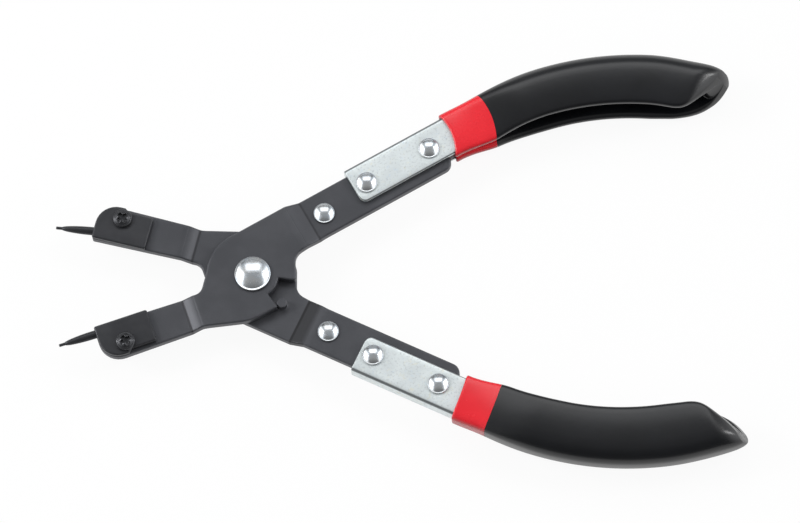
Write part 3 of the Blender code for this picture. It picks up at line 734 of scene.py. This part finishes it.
zinc_finish = zinc_plate("zinc plated sheet")
for word, side in SIDES.items():
    body = bmesh.new()
    first = u_section(CHANNEL_START, -SHEET_EDGE, cut=SHEET_CORNER)
    rings = [u_ring(body, side, CHANNEL_START, first)]
    for i in range(1, CORNER_STEPS):
        turn = pi / 2 * i / CORNER_STEPS
        along = CHANNEL_START + SHEET_EDGE + SHEET_CORNER * (1 - cos(turn))
        rings.append(u_ring(body, side, along, u_section(along, 0, cut=SHEET_CORNER * (1 - sin(turn)))))
    stations = spaced(CHANNEL_START + SHEET_CORNER, TIP_START, LENGTH_STEPS)
    stations += nosed(TIP_START, CHANNEL_END, HIDDEN_END_STEPS)
    for along in stations:
        thinner = 1 - CROWN * ease(along, COLLAR_START, FLARE[1])
        section = u_section(along, 0, SOFTER * ease(along, COLLAR_START, SOFT_END))
        inside = [(across, height * thinner) for across, height in section]
        rings.append(u_ring(body, side, along, inside))
    joined(body, rings)
    channel = piece_of(f"{word}_channel_folded", finished_mesh(f"{word}_channel_folded", body))
    channel.data.materials.append(zinc_finish)
    stand_for(channel, f"{word}_handle_channel", f"{word}_lever")

# The four channel rivets, two through each channel, domed in front and set in a flat cone behind.
# They are bright plated steel like the pivot, each with a crisp rim where the dome meets the sheet, darkened
# there by painted shade.
RIVET_OUT = 0.0077
TAIL_SMALL = 0.0027
TAIL_SMALL_HEIGHT = 0.0009
RIVETS = {"inner": (CHANNEL_START + 0.004, RIVET_OUT), "outer": (HANDLE_LENGTH - 0.0041, RIVET_OUT)}
REACH = CHANNEL_HALF + SEAT_GAP
rivet_profile = dome(HEAD_RADIUS, HEAD_HEIGHT, REACH, HEAD_LIP)
rivet_profile += [(RIVET_RADIUS, REACH), (RIVET_RADIUS, -REACH), (TAIL_SMALL, -REACH)]
rivet_profile += [(TAIL_SMALL * 0.75, -REACH - TAIL_SMALL_HEIGHT), (0, -REACH - TAIL_SMALL_HEIGHT)]
for word, side in SIDES.items():
    for which, place in RIVETS.items():
        spot = handle_point(*place, side)
        rivet = lathe(f"{word}_rivet_{which}", rivet_profile, (spot.x, spot.y, MIDDLE), 44)
        rivet.data.materials.append(rivet_finish)
        stand_for(rivet, f"{word}_channel_rivet_{which}", f"{word}_lever")

# The red collars, the first dip of soft vinyl on each channel, thickest in a round bead at the mouth.
# The tool hangs a little askew as it is dipped, so the mouth and the colour line run slightly slanted.
# The vinyl is glossy, and it swells over both faces of the folded sheet; painted shade makes it deeper red on
# the fold.
RED = (0.82, 0.018, 0.03)
RED_DEEP = (0.7, 0.012, 0.022)
# Painted shade for the upright fold of the red collars.
RED_FOLD_SHADE = (0.36, 0.006, 0.012)
MOUTH = {1: COLLAR_START - 0.0009, -1: COLLAR_START - 0.0004}
COLOUR_LINE = {1: COLLAR_END + 0.0008, -1: COLLAR_END - 0.0011}
SLANT = {1: 0.14, -1: 0.1}
BOW = {1: 0.0013, -1: 0.0002}
BEAD = 0.0003
BEAD_LENGTH = 0.009
WIDER = {1: -0.0005, -1: 0.0006}
OUTER = {1: 0.0006, -1: 0.0002}
REAR_LIP = 0.0014
SWELL_END = (TIP_START - 0.008, TIP_START + 0.006)
TUCK = 0.0008
TUCK_LENGTH = 0.0045
MOUTH_ROUND = 0.0003
MOUTH_STEPS = 7
COLLAR_STEPS = 18
LINING_STEPS = 12


def vinyl_section(along, grow, side):
    """The channel's section swollen, with crowned faces, lips that are wider midway and a tucked in nose.
    The rear lip is the widest."""
    section = u_section(along, grow, SOFTER * ease(along, COLLAR_START, SOFT_END))
    outer = max(point.y for point in section)
    lip = max(point.x for point in section)
    middle = ease(along, COLLAR_END, SOFT_END) * (1 - ease(along, *SWELL_END))
    tuck = TUCK * (1 - ellipse(along, GRIP_END - TUCK_LENGTH, TUCK_LENGTH))
    swollen = []
    for across, height in section:
        share = (across + grow) / (lip + grow)
        wider = WIDER[side] * middle + (REAR_LIP * middle if height < 0 else 0)
        sag = CROWN * (2 * share - 1) ** 2 * (height / outer) ** 2
        shift = share * wider + (1 - share) * (tuck - OUTER[side] * middle)
        swollen.append((across + shift, height * (1 - sag)))
    return swollen


def dipped_vinyl(name, colour, deep, fold, gloss):
    """Glossy vinyl with a faint orange peel, and painted shade that deepens its colour on the fold."""
    material, start, shader = new_finish(name)
    cloud = noise(start, 60, 3)
    peel = noise(start, 420, 2)
    # Painted shade on the upright sides and the fold.
    upright = 1 - facing_up(start).between(0.25, 0.9)
    tone = cloud.between(0.3, 0.7).mix(deep, colour)
    connect((upright * 0.85).mix(tone, fold), shader, "Base Color")
    connect(gloss + cloud * 0.08 + peel * 0.05, shader, "Roughness")
    shader.inputs["Coat Weight"].default_value = 0.15
    shader.inputs["Coat Roughness"].default_value = 0.1
    bumped(shader, peel + noise(start, 1300, 2) * 0.25, 0.00005, 0.35)
    return material


def collar_wall(side):
    """Rings of (distance, growth) round the wall: out over the bead, along the outside and back inside."""
    start = MOUTH[side] + MOUTH_ROUND
    end = COLOUR_LINE[side]
    thick = COAT + BEAD - SEAT_GAP
    wall = []
    for i in range(1, MOUTH_STEPS):
        angle = pi * i / MOUTH_STEPS
        wall.append((start - 0.5 * thick * sin(angle), SEAT_GAP + thick / 2 - thick / 2 * cos(angle)))
    for along in spaced(start, end, COLLAR_STEPS):
        wall.append((along, COAT + BEAD * (1 - ease(along, start, start + BEAD_LENGTH))))
    wall += [(along, SEAT_GAP) for along in spaced(end, start, LINING_STEPS)]
    return wall


red_vinyl = dipped_vinyl("red vinyl", RED, RED_DEEP, RED_FOLD_SHADE, gloss=0.2)
for word, side in SIDES.items():
    body = bmesh.new()
    rings = []
    for along, grow in collar_wall(side):
        rings.append(u_ring(body, side, along, vinyl_section(along, grow, side), SLANT[side], BOW[side]))
    joined(body, rings, closed=True)
    collar = piece_of(f"{word}_collar_vinyl", finished_mesh(f"{word}_collar_vinyl", body))
    collar.data.materials.append(red_vinyl)
    stand_for(collar, f"{word}_grip_collar", f"{word}_lever")

# The black grips, the second dip, over the bent rest of each channel, drawn in to a round nose.
# The open side of the fold stays as a slit along the inner edge, and the skin is smooth with a soft gloss.
BLACK = (0.003, 0.0036, 0.0055)
# Deep tone of the black vinyl, used both for its random darker tone and as painted shade on the fold.
BLACK_DEEP_AND_SHADE = (0.002, 0.0024, 0.0036)
COLOUR_GAP = 0.00005
NOSE_STEPS = 30
black_vinyl = dipped_vinyl("black vinyl", BLACK, BLACK_DEEP_AND_SHADE, BLACK_DEEP_AND_SHADE, gloss=0.24)
for word, side in SIDES.items():
    body = bmesh.new()
    stations = spaced(COLOUR_LINE[side] + COLOUR_GAP, TIP_START, LENGTH_STEPS)
    stations += nosed(TIP_START, GRIP_END, NOSE_STEPS)
    rings = []
    for along in stations:
        fading = 1 - ease(along, COLLAR_END, SOFT_END)
        section = vinyl_section(along, COAT, side)
        rings.append(u_ring(body, side, along, section, SLANT[side] * fading, BOW[side] * fading))
    joined(body, rings)
    grip = piece_of(f"{word}_grip_vinyl", finished_mesh(f"{word}_grip_vinyl", body))
    grip.data.materials.append(black_vinyl)
    stand_for(grip, f"{word}_grip", f"{word}_lever")

# The clamp plates, stamped steel with a groove underneath for the tip pin, one on each jaw.
# They are black oxide, a little darker than the levers, and their edges are lighter in patches, partly from
# rubbing and partly as a painted highlight.
OXIDE = (0.052, 0.053, 0.058)
OXIDE_DARK = (0.036, 0.037, 0.041)
OXIDE_WORN_LIT_EDGE = (0.3, 0.3, 0.31)
oxide_finish = blackened_steel("black oxide", OXIDE, OXIDE_DARK, OXIDE_WORN_LIT_EDGE, sheen=0.3)
for word in SIDES:
    dress(f"{word}_tip_clamp", oxide_finish)

# The clamp screws, pan heads with a cross recess, that pull each clamp plate down on its pin.
# Their head is cold formed, so the recess tapers, and it is oiled, with more gloss than the plates.
JAW_LENGTH = 0.0482
SCREW_PLACE = (JAW_LENGTH - 0.0074, 0.0073)
SCREW_RADIUS = 0.0015
SCREW_HEAD_RADIUS = 0.0028
SCREW_HEAD_HEIGHT = 0.0018
PAN_LIP = 0.0005
CLAMP = 0.0014
CLAMP_TOP = FACE + SEAT_GAP + CLAMP
RECESS_LENGTH = 0.0043
RECESS_WIDTH = 0.00125
RECESS_DEPTH = 0.0012
RECESS_ANGLES = (radians(35), radians(125))
RECESS_TAPER = (0.6, 0.75)
RECESS_SHARP_ANGLE = radians(32)
oiled_finish = blackened_steel("oiled black oxide", OXIDE, OXIDE_DARK, OXIDE_WORN_LIT_EDGE, sheen=0.16)


def jaw_point(along, out, side=1):
    """Point on a jaw: along the ray from the pivot and outwards from it."""
    x = -along * cos(JAW_ANGLE) + out * sin(JAW_ANGLE)
    y = -along * sin(JAW_ANGLE) - out * cos(JAW_ANGLE)
    return Vector((x, side * y))


def recess_cutter(place, top):
    """Tapered cross, wide at the top and narrow at its bottom."""
    body = bmesh.new()
    for angle in RECESS_ANGLES:
        turn = Matrix.Translation((place.x, place.y, top)) @ Matrix.Rotation(angle, 4, "Z")
        size = Matrix.Diagonal((RECESS_LENGTH, RECESS_WIDTH, 2 * RECESS_DEPTH, 1))
        made = bmesh.ops.create_cube(body, size=1, matrix=size)
        for vert in made["verts"]:
            if vert.co.z < 0:
                vert.co.x *= RECESS_TAPER[0]
                vert.co.y *= RECESS_TAPER[1]
        bmesh.ops.transform(body, matrix=turn, verts=made["verts"])
    cutter = bpy.data.objects.new("recess_cutter", finished_mesh("recess_cutter", body))
    scene.collection.objects.link(cutter)
    return cutter


def cut_out(piece, cutter):
    """Cuts the cutter out of the piece for good."""
    modifier = piece.modifiers.new("cut", "BOOLEAN")
    modifier.object = cutter
    modifier.solver = "EXACT"
    modifier.use_self = True
    bpy.context.view_layer.update()
    mesh = bpy.data.meshes.new_from_object(piece.evaluated_get(bpy.context.evaluated_depsgraph_get()))
    piece.modifiers.clear()
    piece.data = mesh
    bpy.data.objects.remove(cutter)
    mesh.shade_smooth()
    mesh.set_sharp_from_angle(angle=RECESS_SHARP_ANGLE)


for word, side in SIDES.items():
    seat = CLAMP_TOP + SEAT_GAP
    end = BACK - seat
    head = dome(SCREW_HEAD_RADIUS, SCREW_HEAD_HEIGHT, 0, PAN_LIP)
    head += [(SCREW_RADIUS, 0), (SCREW_RADIUS, end + EDGE_BREAK), (SCREW_RADIUS - EDGE_BREAK, end), (0, end)]
    spot = jaw_point(*SCREW_PLACE, side)
    screw = lathe(f"{word}_screw_pan_head", head, (spot.x, spot.y, seat), 48)
    cut_out(screw, recess_cutter(spot, seat + SCREW_HEAD_HEIGHT))
    screw.data.materials.clear()
    screw.data.materials.append(oiled_finish)
    stand_for(screw, f"{word}_clamp_screw", f"{word}_screw")

# The tips, turned and hardened pins. Each is clamped in a groove and tapers to a thin nib for the ring's eye.
# They have the same black oxide as the clamp plates.
TIP_RADIUS = 0.0012
TIP_FRONT_RADIUS = 0.00055
NIB_RADIUS = 0.00043
NIB_LENGTH = 0.0018
TIP_REACH = 0.011
TIP_DEPTH = 0.003
CLAMP_LENGTH = 0.016
TIP_SINK = 0.0003
TAPER_LENGTH = 0.88
TAPER_CURVE = 0.65
TAPER_STEPS = 8
TIP_BREAK = 0.0002
TIP_OUT = {"front": 0.00175, "rear": 0.0023}
TIP_TILT = {"front": radians(1.1), "rear": radians(8.2)}
for word, side in SIDES.items():
    buried = CLAMP_LENGTH - TIP_DEPTH
    tilt = TIP_TILT[word]
    start = jaw_point(JAW_LENGTH - buried, TIP_OUT[word] + buried * tan(tilt), side)
    heading = (jaw_point(JAW_LENGTH, TIP_OUT[word], side) - start).normalized()
    turn = Vector((heading.x, heading.y, 0)).to_track_quat("Z", "Y").to_euler()
    front = buried / cos(tilt)
    taper = TIP_REACH - NIB_LENGTH
    pin = [(0, front + TIP_REACH), (NIB_RADIUS * 0.7, front + TIP_REACH)]
    pin += [(NIB_RADIUS, front + TIP_REACH - NIB_RADIUS * 0.3), (NIB_RADIUS, front + taper)]
    shoulder = front + taper - TIP_BREAK
    pin += [(TIP_FRONT_RADIUS - TIP_BREAK / 2, front + taper), (TIP_FRONT_RADIUS, shoulder)]
    for i in range(1, TAPER_STEPS):
        share = i / TAPER_STEPS
        swell = (TIP_RADIUS - TIP_FRONT_RADIUS) * sin(share * pi / 2) ** TAPER_CURVE
        pin.append((TIP_FRONT_RADIUS + swell, shoulder - (taper * TAPER_LENGTH - TIP_BREAK) * share))
    pin += [(TIP_RADIUS, front + taper * (1 - TAPER_LENGTH)), (TIP_RADIUS, TIP_BREAK)]
    pin += [(TIP_RADIUS - TIP_BREAK, 0), (0, 0)]
    tip = lathe(f"{word}_tip_pin", pin, (start.x, start.y, FACE - TIP_SINK), 32, turn)
    tip.data.materials.append(oxide_finish)
    stand_for(tip, f"{word}_tip", f"{word}_pin")
